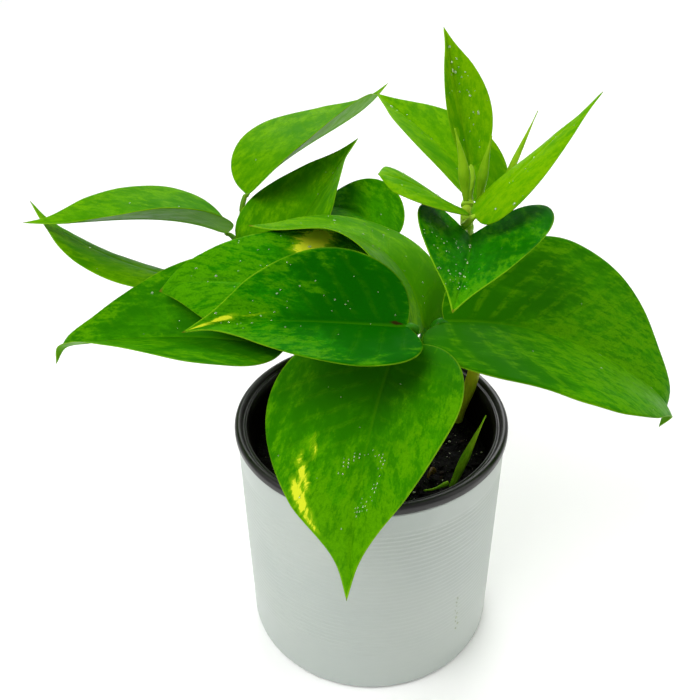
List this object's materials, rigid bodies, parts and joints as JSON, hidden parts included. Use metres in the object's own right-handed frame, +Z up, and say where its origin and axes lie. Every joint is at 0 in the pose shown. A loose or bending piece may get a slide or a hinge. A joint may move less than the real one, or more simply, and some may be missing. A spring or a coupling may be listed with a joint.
{
  "type": "potted pothos plant",
  "caption": "Pothos houseplant with broad pointed leaves on short vines, in a dark nursery pot hung by its rim inside a white ribbed cylindrical cover pot.",
  "frame": {"origin": "middle of the flat underside of the cover pot", "axes": "+Z up, -Y towards the front, where the large front leaf hangs over the rim, +X to the right of that view"},
  "size_m": [0.3029, 0.2963, 0.2705],
  "materials": {
    "cover_pot": "white satin, finely ribbed",
    "nursery_pot": "dark brown-black satin",
    "soil": "damp dark potting mix with white perlite",
    "vine": "smooth pale olive stem",
    "petiole": "smooth yellow-green leaf stalk",
    "leaf": "glossy green leaf with lighter margins and yellow flecks",
    "leaf_young": "glossy light green young leaf",
    "young_shoot": "rolled light green young leaf"
  },
  "bodies": {
    "root": {"cover_pot": "cover_pot", "leaf_arched": "leaf", "leaf_back_middle": "leaf_young", "leaf_back_round": "leaf", "leaf_back_tall": "leaf_young", "leaf_front": "leaf", "leaf_heart": "leaf", "leaf_left_high": "leaf_young", "leaf_left_low": "leaf", "leaf_left_narrow": "leaf_young", "leaf_middle": "leaf", "leaf_right": "leaf", "leaf_top_back": "leaf_young", "leaf_top_left": "leaf_young", "leaf_top_right": "leaf_young", "leaf_top_upright": "leaf_young", "leaf_under": "leaf", "new_leaf_right": "young_shoot", "new_leaf_top": "young_shoot", "nursery_pot": "nursery_pot", "petiole_arched": "petiole", "petiole_back_middle": "petiole", "petiole_back_round": "petiole", "petiole_back_tall": "petiole", "petiole_front": "petiole", "petiole_heart": "petiole", "petiole_left_high": "petiole", "petiole_left_low": "petiole", "petiole_left_narrow": "petiole", "petiole_middle": "petiole", "petiole_right": "petiole", "petiole_top_back": "petiole", "petiole_top_right": "petiole", "petiole_top_upright": "petiole", "petiole_under": "petiole", "sheath_top": "young_shoot", "shoot_in_pot": "young_shoot", "soil": "soil", "vine_left": "vine", "vine_middle": "vine", "vine_right": "vine"}
  },
  "joints": []
}
